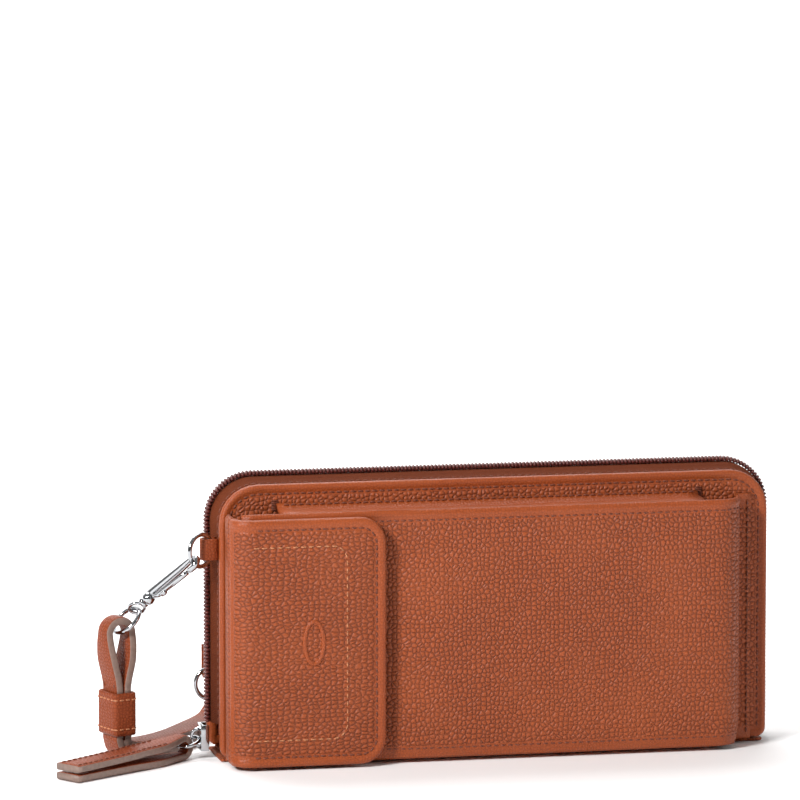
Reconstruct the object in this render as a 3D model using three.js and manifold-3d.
// Zip-around phone wallet in leather, closed and standing on its spine.
// Millimetres, +Z up. The origin is the middle of the spine's underside, +X runs along
// the wallet, and the front cover with its phone sleeve faces -Y.

import * as THREE from 'three';
import { mergeVertices } from 'three/addons/utils/BufferGeometryUtils.js';
import Module from 'manifold-3d';

const wasm = await Module();
wasm.setup();

// ---------------------------------------------------------------- driving dimensions
const COVER_L = 192;            // length of a cover panel
const COVER_H = 95.5;           // height of a cover panel, over the spine
const COVER_R = 13;             // radius of a cover's two top corners
const BODY_T = 27;              // outside to outside of the closed covers
const GAP = 0.3;                // air left between pieces that touch

const LEATHER_T = 1.0;          // outer leather of a cover
const BOARD_T = 0.6;            // stiffening board inside a cover
const LINING_T = 0.5;           // lining and card leather
const BOARD_INSET = 2;          // board and lining stop short of the leather's edge
const COVER_FOOT = 2.3;         // height at which the covers start above the floor

const SPINE_T = 1.2;
const SPINE_FRONT = -11.2;      // front edge of the spine leather

const RIM = 4;                  // how far the coil stands out of the cover's outline
const COIL_HALF = 2.2;          // half the width of the closed coil
const COIL_RISE = 2.1;          // height of the coil over the tape
const TAPE_T = 0.6;

const SLEEVE_X0 = -91.5;          // open left end of the phone sleeve
const SLEEVE_X1 = 85;           // its rounded right end
const SLEEVE_H = 88;
const SLEEVE_FRONT = -27.5;     // outer face of the sleeve's front wall
const SLEEVE_WALL = 1.4;
const SLEEVE_FOOT = 1.5;
const BAND_X = [-77, 71];       // the top band runs between the two bartacks
const BAND_T = 1.4;
const MAGNET_R = 7;
const MAGNET_T = 1.0;
const MAGNET_AT = [-60, 42];    // x and z of the snap magnet

const FLAP_EDGE = -42;          // free edge of the flap
const FLAP_TOP = 86.5;
const FLAP_FOOT = 1.2;
const FLAP_R = 8;               // radius of the flap's two free corners
const FLAP_SIDE_X = -95.2;      // outer face of the flap's side wall

const INNER_L = 172;            // length of the divider and coin pocket
const INNER_FOOT = 5;
const DIVIDER_Y = -3.7;
const DIVIDER_H = 86;
const COIN_Y = 2.55;
const COIN_H = 84;
const CARD_TOPS = [80, 68, 56]; // card edges, from the lining inwards

const TAB_Z = 73.9;             // height of the front ring tab
const RING_R = 5.5;             // ring centreline radius
const RING_WIRE = 0.75;
const RING_PIVOT = [-98.3, -9]; // x and y of the ring's vertical hinge line in its tab
const RING_YAW = 35;            // degrees that the ring is swung forward at rest
const REAR_RING = [-94.2, 16.3, 22.5];   // centre of the ring behind the back cover

const STRAP_W = 10;
const STRAP_T = 3;
const STRAP_YAW = 20;           // degrees that the strap's legs are turned about Z
const FOLD_C = [-130.2, -1, 44.6];   // centre of the strap's fold over its ring
const FOLD_R = 4.4;             // centreline radius of that fold
const KEEPER_Z = [9.5, 24.5];
const STRAP_NECK = 6.4;         // width of the strap's fold inside its ring
const STRAP_END = 8.7;          // lower end of the straight strap
const TAIL_TOP = 7.9;           // upper end of the tail, below the bend line
const LAYER_GAP = 0.2;          // half the air between the strap's two layers
const TAIL_GAP = 0.3;           // the same on the floor

const SLIDER_Z = [2.5, 11.5];   // span of the main slider on the left side
const BAIL_R = 2.9;             // the slider's bail, a half ring that the pull ring runs in
const PULL_DIR = [-0.83, -0.558];    // x and y heading of the leather puller
const PULL_L = 53;
const PULL_W = 11;
const PULL_NECK = 4.6;          // width of the puller's fold inside its ring
const PULL_T = 2.6;
const PULL_RING_R = 3.8;
const PULL_RING_WIRE = 0.6;
const PULL_RING_DROP = 0.35;    // fall of the ring's plane per unit of its heading
const PULL_SHOULDER = 9;        // where the puller reaches its full width

const COIN_SLIDER_X = 74;
const COIN_RING_R = 3.4;
const COIN_RING_Y = COIN_Y - 3.7;   // plane of the ring, in front of the pocket
const COIN_RING_TOP = COIN_H + 1.4;
const COIN_PULL_L = 34;

// ---------------------------------------------------------------- small helpers
const rad = (degrees) => degrees * Math.PI / 180;
const V = (x, y, z) => new THREE.Vector3(x, y, z);
const halfT = BODY_T / 2;

const material = (color, roughness, metalness) => (
  new THREE.MeshStandardMaterial({ color, roughness, metalness })
);
const leather = material(0xb05c36, 0.6, 0);
const liningLeather = material(0x9c4f2e, 0.7, 0);
const board = material(0x6b5a4a, 0.9, 0);
const tapeCloth = material(0xa8583a, 0.9, 0);
const coilNylon = material(0x5a2a22, 0.45, 0);
const chrome = material(0xd8dade, 0.12, 1);
const steel = material(0x8c8f94, 0.35, 1);

const wallet = new THREE.Group();

function add(name, geometry, look) {
  const mesh = new THREE.Mesh(geometry, look);
  mesh.name = name;
  wallet.add(mesh);
  return mesh;
}

function extrude(shape, depth) {
  return new THREE.ExtrudeGeometry(shape, { depth, bevelEnabled: false, curveSegments: 6 });
}

// A flat outline in X and Z, thick from y0 to y1.
function plateY(shape, y0, y1) {
  return extrude(shape, y1 - y0).rotateX(Math.PI / 2).translate(0, y1, 0);
}

// A flat outline in X and Y, standing from z0 to z1.
function prismZ(shape, z0, z1) {
  return extrude(shape, z1 - z0).translate(0, 0, z0);
}

// A flat outline in Y and Z, running from x0 to x1.
function prismX(shape, x0, x1) {
  const basis = new THREE.Matrix4().makeBasis(V(0, 1, 0), V(0, 0, 1), V(1, 0, 0));
  return extrude(shape, x1 - x0).applyMatrix4(basis).translate(x0, 0, 0);
}

function rectangle(a0, b0, a1, b1) {
  const shape = new THREE.Shape();
  shape.moveTo(a0, b0);
  shape.lineTo(a1, b0);
  shape.lineTo(a1, b1);
  shape.lineTo(a0, b1);
  shape.closePath();
  return shape;
}

// A panel with square lower corners and round upper ones.
function panelShape(halfLength, foot, top, radius) {
  const shape = new THREE.Shape();
  shape.moveTo(-halfLength, foot);
  shape.lineTo(halfLength, foot);
  shape.lineTo(halfLength, top - radius);
  shape.absarc(halfLength - radius, top - radius, radius, 0, Math.PI / 2, false);
  shape.absarc(radius - halfLength, top - radius, radius, Math.PI / 2, Math.PI, false);
  shape.closePath();
  return shape;
}

function outline(points) {
  return new THREE.Shape(points.map(([a, b]) => new THREE.Vector2(a, b)));
}

function signedVolume(points, triangles) {
  let volume = 0;
  for (let i = 0; i < triangles.length; i += 3) {
    const [a, b, c] = [0, 1, 2].map((k) => points[triangles[i + k]]);
    volume += a.dot(b.clone().cross(c)) / 6;
  }
  return volume;
}

// A solid through a row of rings that all have the same number of points.
function loft(rings) {
  const count = rings[0].length;
  const points = rings.flat();
  const triangles = [];
  for (let i = 0; i < rings.length - 1; i += 1) {
    const a = i * count;
    const b = a + count;
    for (let j = 0; j < count; j += 1) {
      const k = (j + 1) % count;
      triangles.push(a + j, b + j, b + k, a + j, b + k, a + k);
    }
  }
  const last = (rings.length - 1) * count;
  for (let j = 1; j < count - 1; j += 1) {
    triangles.push(0, j, j + 1, last, last + j + 1, last + j);
  }
  if (signedVolume(points, triangles) < 0) triangles.reverse();
  const geometry = new THREE.BufferGeometry().setFromPoints(points);
  geometry.setIndex(triangles);
  return geometry;
}

// A flat band along a path: `across` is its width direction at each point.
function band(path, across, widths, thickness) {
  const rings = path.map((point, i) => {
    const before = path[Math.max(i - 1, 0)];
    const after = path[Math.min(i + 1, path.length - 1)];
    const along = after.clone().sub(before).normalize();
    const side = across[i].clone().addScaledVector(along, -across[i].dot(along)).normalize();
    const face = along.clone().cross(side);
    const corner = (u, v) => point.clone()
      .addScaledVector(side, u * widths[i] / 2)
      .addScaledVector(face, v * thickness / 2);
    return [corner(-1, -1), corner(1, -1), corner(1, 1), corner(-1, 1)];
  });
  return loft(rings);
}

function toManifold(geometry) {
  const bare = geometry.clone();
  bare.deleteAttribute('normal');
  bare.deleteAttribute('uv');
  const merged = mergeVertices(bare, 1e-4);
  const mesh = new wasm.Mesh({
    numProp: 3,
    vertProperties: new Float32Array(merged.attributes.position.array),
    triVerts: new Uint32Array(merged.index.array),
  });
  return new wasm.Manifold(mesh);
}

function fromManifold(solid) {
  const mesh = solid.getMesh();
  const geometry = new THREE.BufferGeometry();
  const positions = new Float32Array(mesh.vertProperties);
  geometry.setAttribute('position', new THREE.BufferAttribute(positions, 3));
  geometry.setIndex(new THREE.BufferAttribute(new Uint32Array(mesh.triVerts), 1));
  return geometry;
}

function join(first, ...others) {
  return fromManifold(others.reduce((sum, next) => sum.add(toManifold(next)), toManifold(first)));
}

// A ring of wire in the plane of the two unit vectors u and v.
function wireRing(centre, u, v, radius, wire) {
  const geometry = new THREE.TorusGeometry(radius, wire, 8, 20);
  const basis = new THREE.Matrix4().makeBasis(u, v, u.clone().cross(v));
  return geometry.applyMatrix4(basis).translate(centre.x, centre.y, centre.z);
}

// ---------------------------------------------------------------- covers and spine
// `side` is -1 for the front cover and 1 for the back one.
function coverStack(name, side) {
  const slab = (node, depth, thickness, inset, look) => {
    const near = halfT - depth;
    const far = near - thickness;
    const span = side < 0 ? [-near, -far] : [far, near];
    const shape = panelShape(
      COVER_L / 2 - inset, COVER_FOOT + inset / 2, COVER_H - inset, COVER_R - inset,
    );
    add(`${name}_${node}`, plateY(shape, span[0], span[1]), look);
    return depth + thickness + GAP;
  };
  let depth = slab('leather', 0, LEATHER_T, 0, leather);
  depth = slab('board', depth, BOARD_T, BOARD_INSET, board);
  depth = slab('lining', depth, LINING_T, BOARD_INSET, liningLeather);
  CARD_TOPS.forEach((top, i) => {
    const near = side * (halfT - depth);
    const far = near - side * LINING_T;
    const shape = rectangle(-INNER_L / 2, INNER_FOOT, INNER_L / 2, top);
    const plate = plateY(shape, Math.min(near, far), Math.max(near, far));
    add(`${name}_card_slot_${i + 1}`, plate, liningLeather);
    depth += LINING_T + GAP;
  });
}

function spine() {
  const skin = rectangle(SPINE_FRONT, 0, halfT - 0.2, SPINE_T);
  add('spine_leather', prismX(skin, -COVER_L / 2, COVER_L / 2), leather);
  const foot = SPINE_T + GAP;
  const inner = halfT - LEATHER_T - GAP - 1.6;
  const core = rectangle(SPINE_FRONT + 0.8, foot, inner, foot + BOARD_T);
  const half = COVER_L / 2 - BOARD_INSET;
  add('spine_board', prismX(core, -half, half), board);
}

// ---------------------------------------------------------------- main zip
// Points on the cover's outline, grown by `offset`, up the left side, over and down.
function rimStations(zLeft, zRight) {
  const stations = [];
  const push = (x, z, nx, nz) => stations.push({ x, z, nx, nz });
  const cx = COVER_L / 2 - COVER_R;
  const cz = COVER_H - COVER_R;
  const steps = 5;
  push(-COVER_L / 2, zLeft, -1, 0);
  for (let i = 0; i <= steps; i += 1) {
    const a = Math.PI - (i / steps) * Math.PI / 2;
    push(-cx + COVER_R * Math.cos(a), cz + COVER_R * Math.sin(a), Math.cos(a), Math.sin(a));
  }
  for (let i = 0; i <= steps; i += 1) {
    const a = Math.PI / 2 - (i / steps) * Math.PI / 2;
    push(cx + COVER_R * Math.cos(a), cz + COVER_R * Math.sin(a), Math.cos(a), Math.sin(a));
  }
  push(COVER_L / 2, zRight, 1, 0);
  return stations;
}

// A section of [offset, y] points swept round three sides of the cover.
function rimSweep(section, zLeft, zRight) {
  return loft(rimStations(zLeft, zRight).map((s) => (
    section.map(([offset, y]) => V(s.x + s.nx * offset, y, s.z + s.nz * offset))
  )));
}

function mainZip() {
  const coilFoot = SLIDER_Z[1] + 1;
  const tapeIn = RIM - COIL_RISE - GAP;
  [['front', -1], ['back', 1]].forEach(([name, side]) => {
    const tape = [
      [tapeIn, side * 3], [-0.1, side * 10.2], [-0.1 - TAPE_T, side * 10.2],
      [tapeIn - TAPE_T, side * 3], [tapeIn - TAPE_T, side * 0.2], [tapeIn, side * 0.2],
    ];
    add(`${name}_zip_tape`, rimSweep(tape, coilFoot, 4), tapeCloth);
    const coil = [
      [RIM - COIL_RISE, side * 0.2], [RIM - COIL_RISE, side * COIL_HALF],
      [RIM - 0.5, side * COIL_HALF], [RIM, side * (COIL_HALF - 0.6)], [RIM, side * 0.2],
    ];
    add(`${name}_zip_coil`, rimSweep(coil, coilFoot, 6), coilNylon);
  });
}

// The slider is a channel over the coil, with a bail that holds the pull ring.
function mainSlider() {
  const x = -COVER_L / 2 - RIM;
  const channel = outline([
    [x - 1.4, -3.6], [x - 1.4, 3.6], [x + 1.4, 3.6], [x + 1.4, 2.8],
    [x - 0.4, 2.8], [x - 0.4, -2.8], [x + 1.4, -2.8], [x + 1.4, -3.6],
  ]);
  const body = prismZ(channel, SLIDER_Z[0], SLIDER_Z[1]);
  const middle = (SLIDER_Z[0] + SLIDER_Z[1]) / 2;
  const bail = new THREE.TorusGeometry(BAIL_R, 0.6, 6, 12, Math.PI)
    .rotateZ(Math.PI / 2).rotateX(Math.PI / 2).translate(x - 1.4, 0, middle);
  const feet = [-1, 1].map((end) => (
    new THREE.CylinderGeometry(0.7, 0.7, 1.2, 8).rotateZ(Math.PI / 2)
      .translate(x - 1.5, 0, middle + end * BAIL_R)
  ));
  const capped = closeArc(bail);
  add('main_slider', join(body, capped, ...feet), chrome);
}

// A half torus from three.js has open ends: fan each of them shut.
function closeArc(geometry) {
  const bare = geometry.clone();
  bare.deleteAttribute('normal');
  bare.deleteAttribute('uv');
  const merged = mergeVertices(bare, 1e-4);
  const index = Array.from(merged.index.array);
  const edges = new Map();
  for (let i = 0; i < index.length; i += 3) {
    for (let k = 0; k < 3; k += 1) {
      const a = index[i + k];
      const b = index[i + (k + 1) % 3];
      if (edges.has(`${b},${a}`)) edges.delete(`${b},${a}`);
      else edges.set(`${a},${b}`, [a, b]);
    }
  }
  const next = new Map([...edges.values()]);
  while (next.size) {
    const start = next.keys().next().value;
    const loop = [];
    for (let at = start; next.has(at);) {
      loop.push(at);
      const to = next.get(at);
      next.delete(at);
      at = to;
    }
    for (let j = 1; j < loop.length - 1; j += 1) index.push(loop[0], loop[j + 1], loop[j]);
  }
  merged.setIndex(index);
  return merged;
}

function mainPull() {
  const heading = V(PULL_DIR[0], PULL_DIR[1], 0).normalize();
  const across = V(-heading.y, heading.x, 0);
  const bail = V(-COVER_L / 2 - RIM - 2.7, 0, (SLIDER_Z[0] + SLIDER_Z[1]) / 2);
  const down = V(heading.x, heading.y, -PULL_RING_DROP).normalize();
  const centre = bail.clone().addScaledVector(down, PULL_RING_R);
  const ring = wireRing(centre, down, across, PULL_RING_R, PULL_RING_WIRE);
  add('main_pull_ring', ring, chrome);

  const fold = centre.clone().addScaledVector(down, PULL_RING_R + 0.2);
  const turn = PULL_T / 2 + 1.8;
  const path = [];
  const widths = [];
  const at = (along, z, width) => {
    path.push(V(fold.x + heading.x * along, fold.y + heading.y * along, z));
    widths.push(width);
  };
  const low = PULL_T / 2 + 0.1;
  const high = low + PULL_T + 0.5;
  at(PULL_L, low, PULL_W);
  at(PULL_L * 0.5, low + 0.2, PULL_W);
  at(PULL_SHOULDER, low, PULL_W);
  for (let i = 0; i <= 6; i += 1) {
    const a = -Math.PI / 2 + (i / 6) * Math.PI;
    at(-Math.cos(a) * turn, fold.z + turn * Math.sin(a), PULL_NECK);
  }
  at(PULL_SHOULDER, high + 1.6, PULL_W);
  at(PULL_L * 0.5, high + 0.8, PULL_W);
  at(PULL_L, high, PULL_W);
  add('main_puller', band(path, path.map(() => across), widths, PULL_T), leather);
}

// ---------------------------------------------------------------- phone sleeve and flap
function phoneSleeve() {
  const back = -halfT - GAP;
  const r = 7;
  const wall = new THREE.Shape();
  wall.moveTo(SLEEVE_X0, SLEEVE_FRONT);
  wall.lineTo(SLEEVE_X1 - r, SLEEVE_FRONT);
  wall.absarc(SLEEVE_X1 - r, SLEEVE_FRONT + r, r, -Math.PI / 2, 0, false);
  wall.lineTo(SLEEVE_X1, back);
  wall.lineTo(SLEEVE_X1 - SLEEVE_WALL, back);
  wall.lineTo(SLEEVE_X1 - SLEEVE_WALL, SLEEVE_FRONT + r);
  wall.absarc(SLEEVE_X1 - r, SLEEVE_FRONT + r, r - SLEEVE_WALL, 0, -Math.PI / 2, true);
  wall.lineTo(SLEEVE_X0, SLEEVE_FRONT + SLEEVE_WALL);
  wall.closePath();
  add('sleeve_wall', prismZ(wall, SLEEVE_FOOT, SLEEVE_H), leather);

  const inner = SLEEVE_FRONT + SLEEVE_WALL + GAP;
  const disc = new THREE.Shape();
  disc.absarc(MAGNET_AT[0], MAGNET_AT[1], MAGNET_R, 0, 2 * Math.PI, false);
  add('sleeve_magnet', plateY(disc, inner, inner + MAGNET_T), steel);
  const liningY = inner + MAGNET_T + GAP;
  add('sleeve_lining', plateY(
    rectangle(SLEEVE_X0 + 1, SLEEVE_FOOT + BAND_T + 1, SLEEVE_X1 - r, SLEEVE_H - BAND_T - 1),
    liningY, liningY + LINING_T,
  ), liningLeather);

  const depth = [inner, back];
  add('sleeve_top_band', prismZ(
    rectangle(BAND_X[0], depth[0], BAND_X[1], depth[1]), SLEEVE_H - BAND_T, SLEEVE_H,
  ), leather);
  add('sleeve_bottom_band', prismZ(
    rectangle(SLEEVE_X0 + 1, depth[0], SLEEVE_X1 - r, depth[1]), SLEEVE_FOOT, SLEEVE_FOOT + BAND_T,
  ), leather);
}

// The free edge of the flap has two round corners.
function flapShape(x0, x1, z0, z1, radius) {
  const shape = new THREE.Shape();
  shape.moveTo(x0, z0);
  shape.lineTo(x1 - radius, z0);
  shape.absarc(x1 - radius, z0 + radius, radius, -Math.PI / 2, 0, false);
  shape.absarc(x1 - radius, z1 - radius, radius, 0, Math.PI / 2, false);
  shape.lineTo(x0, z1);
  shape.closePath();
  return shape;
}

function sleeveFlap() {
  const side = rectangle(FLAP_SIDE_X, SLEEVE_FRONT + 0.6, FLAP_SIDE_X + 2.6, -halfT - 0.7);
  add('flap_side_wall', prismZ(side, FLAP_FOOT, FLAP_TOP), leather);

  let y = SLEEVE_FRONT - GAP;
  const slab = (name, thickness, inset, look, hole) => {
    const shape = flapShape(
      FLAP_SIDE_X + inset, FLAP_EDGE - inset, FLAP_FOOT + inset, FLAP_TOP - inset, FLAP_R - inset,
    );
    if (hole) {
      const path = new THREE.Path();
      path.absarc(MAGNET_AT[0], MAGNET_AT[1], MAGNET_R + GAP, 0, 2 * Math.PI, true);
      shape.holes.push(path);
    }
    add(name, plateY(shape, y - thickness, y), look);
    if (hole) {
      const disc = new THREE.Shape();
      disc.absarc(MAGNET_AT[0], MAGNET_AT[1], MAGNET_R, 0, 2 * Math.PI, false);
      add('flap_magnet', plateY(disc, y - thickness, y), steel);
    }
    y -= thickness + GAP;
  };
  slab('flap_lining', 0.8, 0.6, liningLeather, false);
  slab('flap_board', MAGNET_T, 3, board, true);
  slab('flap_leather', 1.2, 0, leather, false);
}

// ---------------------------------------------------------------- inside
function divider() {
  const sheet = rectangle(-INNER_L / 2, INNER_FOOT, INNER_L / 2, DIVIDER_H);
  add('divider', plateY(sheet, DIVIDER_Y - 0.4, DIVIDER_Y + 0.4), liningLeather);
}

function coinPocket() {
  const wall = 0.8;
  const half = 1.55;
  const tapeTop = COIN_H + 3;
  const shape = rectangle(-INNER_L / 2, INNER_FOOT, INNER_L / 2, COIN_H - 4);
  add('coin_pocket_front', plateY(shape, COIN_Y - half, COIN_Y - half + wall), liningLeather);
  add('coin_pocket_back', plateY(shape, COIN_Y + half - wall, COIN_Y + half), liningLeather);
  const web = rectangle(-INNER_L / 2 + 1, INNER_FOOT, INNER_L / 2 - 1, INNER_FOOT + 1.2);
  const inner = half - wall - GAP;
  add('coin_pocket_fold', plateY(web, COIN_Y - inner, COIN_Y + inner), liningLeather);
  const tape = rectangle(-INNER_L / 2 + 1, COIN_H - 3.7, INNER_L / 2 - 1, COIN_H - 0.3);
  add('coin_zip_tape', plateY(tape, COIN_Y - inner, COIN_Y + inner), tapeCloth);
  const coil = rectangle(-INNER_L / 2 + 4, COIN_H, COIN_SLIDER_X - 6, tapeTop - 0.6);
  add('coin_zip_coil', plateY(coil, COIN_Y - 1.3, COIN_Y + 1.3), coilNylon);
}

function coinSlider() {
  const half = 2.6;
  const wall = 0.7;
  const top = COIN_H + 3.6;
  const low = COIN_H + 0.4;
  const channel = outline([
    [COIN_Y - half, low], [COIN_Y - half, top], [COIN_Y + half, top], [COIN_Y + half, low],
    [COIN_Y + half - wall, low], [COIN_Y + half - wall, top - wall],
    [COIN_Y - half + wall, top - wall], [COIN_Y - half + wall, low],
  ]);
  const body = prismX(channel, COIN_SLIDER_X - 5, COIN_SLIDER_X + 4);
  const grip = 1.7;
  const staple = rectangle(
    COIN_RING_Y - 1.6, COIN_RING_TOP - grip, COIN_Y - half + 0.2, COIN_RING_TOP + grip,
  );
  const hole = new THREE.Path();
  const reach = 0.9;
  hole.absarc(COIN_RING_Y, COIN_RING_TOP, reach, 0, 2 * Math.PI, true);
  staple.holes.push(hole);
  const lug = prismX(staple, COIN_SLIDER_X - 0.9, COIN_SLIDER_X + 0.9);
  add('coin_slider', join(body, lug), chrome);
}

// The pull ring hangs down the pocket's front and holds the leather puller.
function coinPull() {
  const y = COIN_RING_Y;
  const radius = COIN_RING_R;
  const centre = V(COIN_SLIDER_X, y, COIN_RING_TOP - radius);
  const ring = wireRing(centre, V(1, 0, 0), V(0, 0, 1), radius, 0.55);
  add('coin_pull_ring', ring, chrome);
  const top = centre.z - radius - 0.9;
  const strip = flapShape(-top, -top + COIN_PULL_L, -5.3, 5.3, 2);
  const thickness = 1.6;
  const basis = new THREE.Matrix4().makeBasis(V(0, 0, -1), V(1, 0, 0), V(0, -1, 0));
  const geometry = extrude(strip, thickness).applyMatrix4(basis);
  add('coin_puller', geometry.translate(COIN_SLIDER_X, y + thickness / 2, 0), leather);
}

// Accordion gussets: one V fold of cloth-backed leather between each pair of leaves.
function gussets() {
  const leaves = [
    -halfT + 5.4, DIVIDER_Y - 0.7, DIVIDER_Y + 0.7, COIN_Y - 1.85, COIN_Y + 1.85, halfT - 5.4,
  ];
  const t = 0.5;
  [['left', -1], ['right', 1]].forEach(([name, side]) => {
    for (let i = 0; i < 3; i += 1) {
      const a = leaves[2 * i];
      const b = leaves[2 * i + 1];
      const middle = (a + b) / 2;
      const x0 = side * (INNER_L / 2 + 0.6);
      const x1 = side * (INNER_L / 2 + 5);
      const fold = outline([
        [x1, a], [x0 + side * t, middle], [x1, b],
        [x1, b - t * 0.9], [x0 + side * t * 2.4, middle], [x1, a + t * 0.9],
      ]);
      add(`gusset_${name}_${i + 1}`, prismZ(fold, INNER_FOOT, 82), liningLeather);
    }
  });
}

// ---------------------------------------------------------------- ring tabs and rings
const TAB_OUTER = 2.45;
const TAB_INNER = 1.75;

// The U of a folded leather loop, open at its root: `a` runs from the root to the fold.
function tabShape(reach) {
  const bend = reach - TAB_OUTER;
  const shape = new THREE.Shape();
  shape.moveTo(0, -TAB_OUTER);
  shape.lineTo(bend, -TAB_OUTER);
  shape.absarc(bend, 0, TAB_OUTER, -Math.PI / 2, Math.PI / 2, false);
  shape.lineTo(0, TAB_OUTER);
  shape.lineTo(0, TAB_INNER);
  shape.lineTo(bend, TAB_INNER);
  shape.absarc(bend, 0, TAB_INNER, Math.PI / 2, -Math.PI / 2, true);
  shape.lineTo(0, -TAB_INNER);
  shape.closePath();
  return shape;
}

function tab(name, root, outward, reach, width) {
  const geometry = extrude(tabShape(reach), width).translate(0, 0, -width / 2);
  const side = V(0, 1, 0);
  const basis = new THREE.Matrix4().makeBasis(outward, side, outward.clone().cross(side));
  add(name, geometry.applyMatrix4(basis).translate(root.x, root.y, root.z), leather);
}

const ringOut = V(-Math.cos(rad(RING_YAW)), -Math.sin(rad(RING_YAW)), 0);
const ringCentre = V(RING_PIVOT[0], RING_PIVOT[1], TAB_Z).addScaledVector(ringOut, RING_R);

function frontRing() {
  tab('front_ring_tab', V(-97.1, RING_PIVOT[1], TAB_Z), V(-1, 0, 0), 5.2, 6);
  add('front_ring', wireRing(ringCentre, ringOut, V(0, 0, 1), RING_R, RING_WIRE), chrome);
}

// The rear ring hangs from a short tab on the back cover and shows past its left edge.
function rearRing() {
  const [x, y, z] = REAR_RING;
  tab('rear_ring_tab', V(x, y, z + RING_R + 8), V(0, 0, -1), 11, 6);
  add('rear_ring', wireRing(V(x, y, z), V(1, 0, 0), V(0, 0, 1), RING_R, RING_WIRE), chrome);
}

// ---------------------------------------------------------------- snap hook and swivel
const grip = ringCentre.clone()
  .addScaledVector(ringOut, RING_R * Math.SQRT1_2)
  .add(V(0, 0, -RING_R * Math.SQRT1_2));
const strapSide = V(Math.cos(rad(STRAP_YAW)), Math.sin(rad(STRAP_YAW)), 0);
const strapAcross = V(-Math.sin(rad(STRAP_YAW)), Math.cos(rad(STRAP_YAW)), 0);
const foldCentre = V(...FOLD_C);
const ringRise = V(0.73, 0, 0.68);
ringRise.addScaledVector(strapAcross, -ringRise.dot(strapAcross)).normalize();
const oRingCentre = foldCentre.clone().addScaledVector(ringRise, RING_R);
const swivelEye = oRingCentre.clone().addScaledVector(ringRise, RING_R);

const hookAxis = grip.clone().sub(swivelEye).normalize();
const hookNormal = ringOut.clone().add(V(0, 0, 1)).normalize();
hookNormal.addScaledVector(hookAxis, -hookNormal.dot(hookAxis)).normalize();
const hookSide = hookAxis.clone().cross(hookNormal);
const hookLength = grip.distanceTo(swivelEye);

// Places a shape drawn with x across and y along the hook, from the swivel eye up.
function onHook(geometry) {
  const basis = new THREE.Matrix4().makeBasis(hookSide, hookAxis, hookNormal.clone());
  return geometry.applyMatrix4(basis).translate(swivelEye.x, swivelEye.y, swivelEye.z);
}

function hookPlate(shape, thickness) {
  return onHook(extrude(shape, thickness).translate(0, 0, -thickness / 2));
}

function snapHook() {
  const inner = 1.6;
  const outerR = 2.9;
  const nose = hookLength - 2.6;
  const outer = new THREE.Shape();
  outer.moveTo(-2.4, 5.2);
  outer.lineTo(1.2, 5.2);
  outer.lineTo(1.2, 7.5);
  outer.lineTo(-0.6, 9.2);
  outer.lineTo(-inner, hookLength);
  outer.absarc(0, hookLength, inner, Math.PI, 0, true);
  outer.lineTo(inner, nose);
  outer.lineTo(outerR, nose);
  outer.absarc(0, hookLength, outerR, 0, Math.PI, false);
  outer.closePath();
  add('hook_body', hookPlate(outer, 2.4), chrome);

  const lever = outline([
    [1.5, 7.9], [2.6, 8.6], [2.8, nose - 0.35], [1.7, nose - 0.35], [0.1, 9.6],
  ]);
  add('hook_gate', hookPlate(lever, 1.8), chrome);

  // The swivel's eye lies square to the wire of the strap ring that runs through it.
  const stem = onHook(new THREE.CylinderGeometry(1.9, 1.9, 1.8, 12).translate(0, 4, 0));
  const eye = new THREE.TorusGeometry(2.6, 0.6, 8, 16);
  const eyeSide = strapAcross.clone().cross(hookAxis).normalize();
  eye.applyMatrix4(new THREE.Matrix4().makeBasis(hookAxis, eyeSide, hookAxis.clone().cross(eyeSide)));
  const eyeCentre = swivelEye.clone().addScaledVector(hookAxis, 0.2);
  eye.translate(eyeCentre.x, eyeCentre.y, eyeCentre.z);
  add('hook_swivel', join(stem, eye), chrome);
}

// ---------------------------------------------------------------- wrist strap
function strapRing() {
  add('strap_ring', wireRing(oRingCentre, ringRise, strapAcross, RING_R, RING_WIRE), chrome);
}

function wristStrap() {
  const path = [];
  const widths = [];
  const put = (offset, z, width) => {
    path.push(V(
      foldCentre.x + strapSide.x * offset, foldCentre.y + strapSide.y * offset, z,
    ));
    widths.push(width);
  };
  const close = STRAP_T / 2 + LAYER_GAP;
  put(-close, STRAP_END, STRAP_W);
  put(-close, KEEPER_Z[1] + 2, STRAP_W);
  put(-FOLD_R + 0.7, FOLD_C[2] - 8, STRAP_W * 0.9);
  for (let i = 0; i <= 6; i += 1) {
    const a = Math.PI * (1 - i / 6);
    put(FOLD_R * Math.cos(a), FOLD_C[2] + FOLD_R * Math.sin(a), STRAP_NECK);
  }
  put(FOLD_R - 0.7, FOLD_C[2] - 8, STRAP_W * 0.9);
  put(close, KEEPER_Z[1] + 2, STRAP_W);
  put(close, STRAP_END, STRAP_W);
  add('wrist_strap', band(path, path.map(() => strapAcross), widths, STRAP_T), leather);

  const halfA = STRAP_T + 0.6;
  const halfB = STRAP_W / 2 + 0.5;
  const wall = 1.6;
  const keeper = rectangle(-halfA - wall, -halfB - wall, halfA + wall, halfB + wall);
  const hole = new THREE.Path();
  hole.setFromPoints(rectangle(-halfA, -halfB, halfA, halfB).getPoints().reverse());
  keeper.holes.push(hole);
  const loop = prismZ(keeper, KEEPER_Z[0], KEEPER_Z[1])
    .rotateZ(rad(STRAP_YAW)).translate(foldCentre.x, foldCentre.y, 0);
  add('strap_keeper', loop, leather);
}

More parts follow.
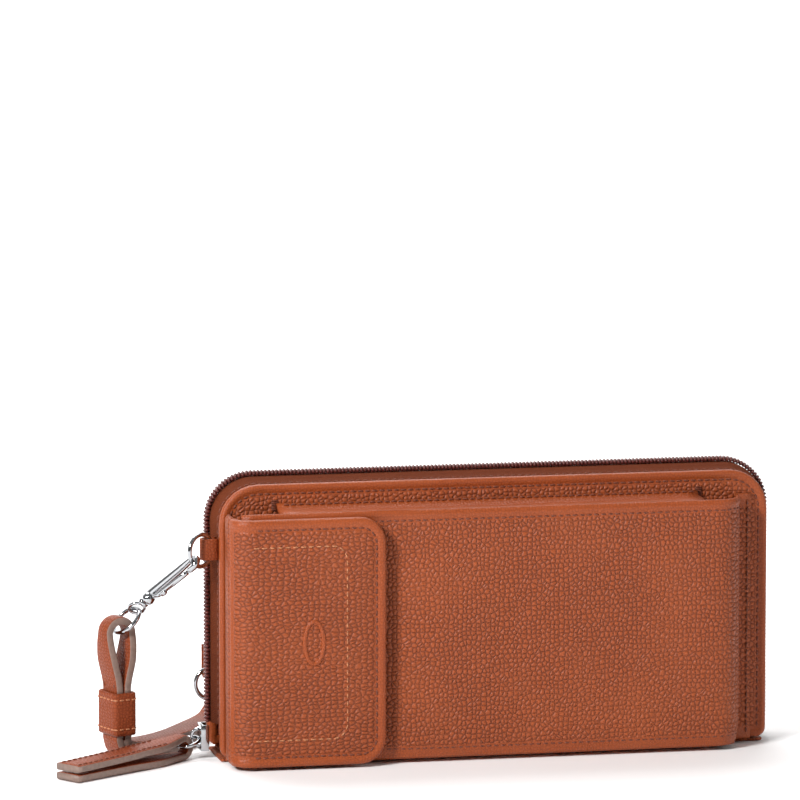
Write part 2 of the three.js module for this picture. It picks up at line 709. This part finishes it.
// Below the keeper both layers bend to the floor, run behind the wallet and join in a bow.
function strapTail() {
  const route = [
    [-129.6, -0.6, 5.2], [-125.6, 1.4, 3.65], [-118, 5, 3.45],
    [-108.5, 14, 3.45], [-99.5, 27, 3.45], [-90.5, 41.5, 3.45],
  ];
  const centre = route.map(([x, y, z]) => V(x, y, z));
  const start = V(foldCentre.x, foldCentre.y, TAIL_TOP);
  const legs = (sign) => {
    const first = start.clone().addScaledVector(strapSide, sign * (STRAP_T / 2 + LAYER_GAP));
    const points = [first, first.clone().add(V(0, 0, -0.6))];
    const across = [strapAcross.clone(), strapAcross.clone()];
    centre.forEach((point, i) => {
      const before = centre[Math.max(i - 1, 0)];
      const after = centre[Math.min(i + 1, centre.length - 1)];
      const along = after.clone().sub(before).normalize();
      const side = V(-along.y, along.x, 0).normalize().lerp(strapAcross, i === 0 ? 0.6 : 0).normalize();
      const up = along.clone().cross(side).normalize();
      if (up.z < 0) up.negate();
      points.push(point.clone().addScaledVector(up, sign * (STRAP_T / 2 + TAIL_GAP)));
      across.push(side);
    });
    return { points, across };
  };
  const low = legs(-1);
  const high = legs(1);
  const heading = centre[5].clone().sub(centre[4]).setZ(0).normalize();
  const side = V(-heading.y, heading.x, 0);
  const end = centre[5];
  const bow = [];
  const bowL = 26;
  [[7, 1.75], [17, 1.75], [bowL, 1.75]].forEach(([along, z]) => bow.push(V(end.x + heading.x * along, end.y + heading.y * along, z)));
  const turn = 6.5;
  for (let i = 1; i <= 5; i += 1) {
    const a = -Math.PI / 2 + (i / 6) * Math.PI;
    const along = bowL + turn * Math.cos(a);
    bow.push(V(end.x + heading.x * along, end.y + heading.y * along, 1.75 + turn * (1 + Math.sin(a))));
  }
  [[bowL, 14.4], [17, 12], [7, 6.8]].forEach(([along, z]) => (
    bow.push(V(end.x + heading.x * along, end.y + heading.y * along, z))
  ));
  const path = [...low.points, ...bow, ...high.points.reverse()];
  const across = [...low.across, ...bow.map(() => side), ...high.across.reverse()];
  add('strap_tail', band(path, across, path.map(() => STRAP_W), STRAP_T), leather);
}

// ---------------------------------------------------------------- assembly
coverStack('front', -1);
coverStack('back', 1);
spine();
mainZip();
mainSlider();
mainPull();
phoneSleeve();
sleeveFlap();
divider();
coinPocket();
coinSlider();
coinPull();
gussets();
frontRing();
rearRing();
snapHook();
strapRing();
wristStrap();
strapTail();

export default wallet;
